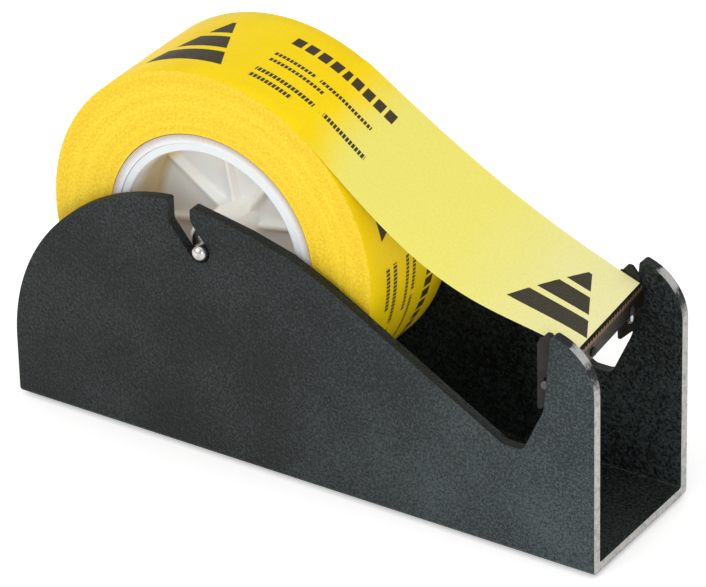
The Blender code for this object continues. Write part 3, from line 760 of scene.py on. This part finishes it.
def hubHalf(settings, sign):
    # a closed profile (radius, y) carried round the axle; ribs lift the web towards their own top by a
    # weight that depends only on the distance from the rib's middle plane
    low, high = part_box("hub_half_left")
    outer, face, middle = (high.x - low.x) / 2 + 0.0002, high.y, low.y
    inner = outer - settings["rim"]
    boss, bore, draft = settings["boss"], settings["bore"], settings["draft"]
    ribTop = face - settings["ribDepth"]
    bossFloor, rimFloor = face - settings["webAtBoss"], face - settings["webAtRim"]
    web = settings["web"]
    corners = [  # radius, y, and the corner's own rounding
        (bore, middle, 0.0003), (bore, face, 0.0006), (boss - 0.0002, face, 0.0007),
        (boss - 0.0001, ribTop, 0), (boss, bossFloor, 0.0012), (inner - draft, rimFloor, 0.0014),
        (inner - draft * 0.7, ribTop, 0), (inner, face, 0.0006), (outer, face, 0.00012),
        (outer, middle, 0.0003), (inner, middle, 0.0003), (inner - draft, rimFloor - web, 0.0008),
        (boss, bossFloor - web, 0.0008), (boss, middle, 0.0003),
    ]
    profile = filletCorners([corner[:2] for corner in corners], [corner[2] for corner in corners], 5)
    aside, stands = np.array(settings["ribAside"]) / 1000, np.array(settings["ribShare"])
    offsets = np.concatenate([-aside[::-1], aside])
    weights = np.concatenate([stands[::-1], stands])
    between = 11
    radius, y = profile[:, :1], profile[:, 1:]
    lean = np.arcsin(offsets / np.maximum(radius, boss * 0.97))
    pitch = math.tau / settings["ribs"]
    share = np.arange(1, between + 1) / (between + 1)
    gap = lean[:, -1:] + (pitch + lean[:, :1] - lean[:, -1:]) * share
    sector = np.concatenate([lean, gap], 1)
    starts = math.radians(settings["ribPhase"]) + pitch * np.arange(settings["ribs"])
    angle = (sector[:, None, :] + starts[None, :, None]).reshape(len(profile), -1)
    weight = np.tile(np.concatenate([weights, np.zeros(between)]), settings["ribs"])
    inDish = (radius > boss - 0.0003) & (radius < inner + 0.0001) & (y > bossFloor - 0.0002)
    lifted = y + weight * np.where(inDish, np.maximum(ribTop - y, 0), 0)
    points = np.stack([axleX + radius * np.cos(angle), sign * lifted, axleZ + radius * np.sin(angle)], -1)
    return makeMesh("hubHalf", points, gridFaces(*angle.shape, True, True), 2e-6)


def makeHub(settings):
    material = mouldedPlastic(settings)
    for hand, sign in (("right", -1), ("left", 1)):
        makePiece("hubHalf_" + hand, hubHalf(settings, sign), material, "roll", ["hub_half_" + hand],
                  75)


makeCore(coreLook)
makeHub(hubLook)
print("core and hub made")

steelLook = {"light": (0.62, 0.61, 0.60, 1), "dark": (0.24, 0.23, 0.22, 1)}
# painted shade: the right-hand screw's darker steel
shadedSteelLook = {"light": (0.10, 0.095, 0.09, 1), "dark": (0.04, 0.038, 0.036, 1)}
axleShape = {
    "neck": 0.0024,  # radius at the foot of a clip's groove
    "slack": 0.00015,
    "turn": 0.0002,
    "dome": 0.85,
    "fit": 0.0003,
    "mouth": 40.0,
    "rodSteps": 64,
    "washerSteps": 72,
}


def platedSteel(name, settings):
    material, tree, shader = newMaterial(name)
    place = objectPlace(tree)
    smear = noise(tree, place, 300.0, 4.0, 0.6)
    turning = addNode(tree, "ShaderNodeMapping", {"Vector": place, "Scale": (60.0, 6000.0, 60.0)}).outputs[0]
    lines = noise(tree, turning, 1.0, 2.0)
    colour = mixColour(tree, remap(tree, smear, 0.4, 0.75), settings["light"], settings["dark"])
    finish(tree, shader, Base_Color=colour, Metallic=1.0, Roughness=remap(tree, smear, 0.3, 0.7, 0.14, 0.28),
           Normal=bump(tree, lines, 0.00003, 0.4))
    return material


def makeAxle(settings, steel):
    # half the rod's profile is a dome, then the clip's groove; the other half mirrors it
    half, radius = rodHigh.y, (rodHigh.x - rodLow.x) / 2
    clipLow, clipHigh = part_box("axle_clip_left")
    neck, slack = settings["neck"], settings["slack"]
    turn, fit = settings["turn"], settings["fit"]
    quarter = np.linspace(0, math.pi / 2, 10)
    domeDrop = radius * settings["dome"] * (1 - np.cos(quarter))
    dome = np.stack([radius * np.sin(quarter), half - domeDrop], -1)
    grooveTop, grooveFoot = clipHigh.y + slack, clipLow.y - slack
    neckLine = [(radius, grooveTop + turn), (radius - turn, grooveTop), (neck, grooveTop),
                (neck, grooveFoot), (radius - turn, grooveFoot), (radius, grooveFoot - turn)]
    upper = np.concatenate([dome, np.array(neckLine)])
    profile = np.concatenate([upper, upper[::-1] * (1, -1)])
    steps = settings["rodSteps"]
    points = turnedPoints(profile, steps, axleX, axleZ)
    mesh = makeMesh("axleRod", points, gridFaces(len(profile), steps, False, True))
    makePiece("axleRod", mesh, steel, "axle", ["axle_rod"])
    steps = settings["washerSteps"]
    for hand in ("right", "left"):
        low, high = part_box("spacer_washer_" + hand)
        outer = (high.x - low.x) / 2
        corners = [(outer, low.y), (outer, high.y), (radius + fit, high.y), (radius + fit, low.y)]
        profile = filletCorners(corners, [turn] * 4, 3)
        points = turnedPoints(profile, steps, axleX, axleZ)
        mesh = makeMesh("washer", points, gridFaces(len(profile), steps, True, True))
        makePiece("spacerWasher_" + hand, mesh, steel, "axle", ["spacer_washer_" + hand])
        low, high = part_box("axle_clip_" + hand)
        clip = clipMesh(low, high, neck + fit, math.radians(settings["mouth"]))
        makePiece("axleClip_" + hand, clip, steel, "axle", ["axle_clip_" + hand])


def clipMesh(low, high, inner, mouth):
    # a rounded rectangle section carried along a ring that is open at its mouth
    outer = (high.x - low.x) / 2
    angle = np.linspace(mouth, math.tau - mouth, 60)
    middle, thick = (low.y + high.y) / 2, (high.y - low.y) / 2
    corners = [(1, 1), (1, -1), (0, -1), (0, 1)]
    section = filletCorners(corners, [0.12] * 4, 3)
    radius = inner + section[None, :, 0] * (outer - inner) + 0 * angle[:, None]
    y = middle + section[None, :, 1] * thick + 0 * radius
    points = np.stack([axleX + radius * np.sin(angle[:, None] + math.pi), y,
                       axleZ + radius * np.cos(angle[:, None] + math.pi)], -1)
    rows, columns = radius.shape
    faces = gridFaces(rows, columns, False, True).tolist()
    faces.append(list(range(columns)))
    faces.append(list(range((rows - 1) * columns, rows * columns)))
    return makeMesh("clip", points, faces)


steel = platedSteel("brightSteel", steelLook)
makeAxle(axleShape, steel)
print("axle made")

cutterLook = {
    "skew": 5.2,
    "dark": (0.008, 0.0075, 0.007, 1),
    "light": (0.026, 0.024, 0.022, 1),
    "blade": (0.045, 0.032, 0.024, 1),
    "bladeStain": (0.020, 0.016, 0.014, 1),
    "bladeEdge": (0.17, 0.105, 0.052, 1),
    "teeth": 24,
    "toothHeight": 0.0012,
    "thick": 0.0006,
    "edgeRound": 0.00018,
}


def blackenedSteel(settings):
    material, tree, shader = newMaterial("blackenedSteel")
    place = objectPlace(tree)
    patch = noise(tree, place, 240.0, 4.0, 0.62)
    colour = mixColour(tree, remap(tree, patch, 0.38, 0.72), settings["dark"], settings["light"])
    finish(tree, shader, Base_Color=colour, Metallic=0.1, Specular_IOR_Level=0.25,
           Roughness=remap(tree, patch, 0.3, 0.7, 0.45, 0.62),
           Normal=bump(tree, noise(tree, place, 900.0, 3.0), 0.00006, 0.5))
    return material


def bladeSteel(settings):
    material, tree, shader = newMaterial("bladeSteel")
    place = objectPlace(tree)
    height = splitPlace(tree, place)[2]
    stain = noise(tree, place, 500.0, 4.0, 0.6)
    ground = remap(tree, height, bladeHigh.z - 0.0020, bladeHigh.z - 0.0014)
    streakInputs = {"Vector": place, "Scale": (500.0, 500.0, 9000.0)}
    streak = addNode(tree, "ShaderNodeMapping", streakInputs).outputs[0]
    body = mixColour(tree, remap(tree, stain, 0.35, 0.7), settings["blade"], settings["bladeStain"])
    colour = mixColour(tree, ground, body, settings["bladeEdge"])
    finish(tree, shader, Base_Color=colour, Metallic=0.9, Roughness=remap(tree, stain, 0.3, 0.7, 0.28, 0.42),
           Normal=bump(tree, noise(tree, streak, 1.0, 2.0), 0.00004, 0.5))
    return material


def makeBlade(settings):
    # a section that tapers to its edge, carried along the blade; the edge rises and falls as teeth
    low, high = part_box("cutting_blade")
    skew = math.radians(settings["skew"])
    along = np.array([-math.sin(skew), math.cos(skew)])
    front = np.array([math.cos(skew), math.sin(skew)])
    halfLength = (high.y - low.y) / 2 / math.cos(skew) - 0.0001
    centre = np.array([(low.x + high.x) / 2, 0.0])
    count = settings["teeth"] * 8
    place = np.linspace(-1, 1, count + 1)
    phase = (place + 1) / 2 * settings["teeth"] % 1
    wave = 1 - np.abs(2 * phase - 1)
    tip = high.z - settings["toothHeight"] * (1 - wave)
    thick = settings["thick"] / 2
    root = high.z - settings["toothHeight"] - 0.0010
    across = np.array([-0.8, -1, -1, -0.15, 0.15, 1, 1, 0.8]) * thick
    foot = np.array([low.z, low.z + 0.0001, root, 0, 0, root, low.z + 0.0001, low.z])
    isTip = np.array([0, 0, 0, 1, 1, 0, 0, 0])
    height = foot * (1 - isTip) + tip[:, None] * isTip
    flat = centre + along * (place * halfLength)[:, None]
    points = np.concatenate([flat[:, None, :] + front * across[None, :, None], height[:, :, None]], -1)
    rows, columns = height.shape
    faces = gridFaces(rows, columns, False, True).tolist()
    faces.append(list(range(columns)))
    faces.append(list(range((rows - 1) * columns, rows * columns)))
    mesh = makeMesh("cuttingBlade", points, faces)
    makePiece("cuttingBlade", mesh, bladeSteel(settings), "frame", ["cutting_blade"], 30)


def makeBracket(settings, dark):
    mesh = softenedMesh("cutter_bracket", "cutterBracket", settings["edgeRound"], 2)
    piece = makePiece("cutterBracket", mesh, dark, "frame", ["cutter_bracket"])
    steadyShading(piece)


def makeFasteners(dark, steel):
    # the right-hand screw sits in the horn's shade and takes a darker steel: painted shade
    shaded = platedSteel("shadedSteel", shadedSteelLook)
    for hand in ("right", "left"):
        for first, second, width, material, slot in (
            ("blade", "rivet", 0.00012, dark, "blackened_steel"),
            ("lock", "washer", 0.00010, steel, "plated_steel"),
            ("bracket", "screw", 0.00012, shaded if hand == "right" else steel, "plated_steel"),
        ):
            node = "_".join((first, second, hand))
            name = first + second.title() + "_" + hand
            mesh = softenedMesh(node, node, width, 2, 35)
            steadyShading(makePiece(name, mesh, material, "frame", [node], 35))


blackened = blackenedSteel(cutterLook)
makeBlade(cutterLook)
makeBracket(cutterLook, blackened)
makeFasteners(blackened, steel)
print("cutter made")
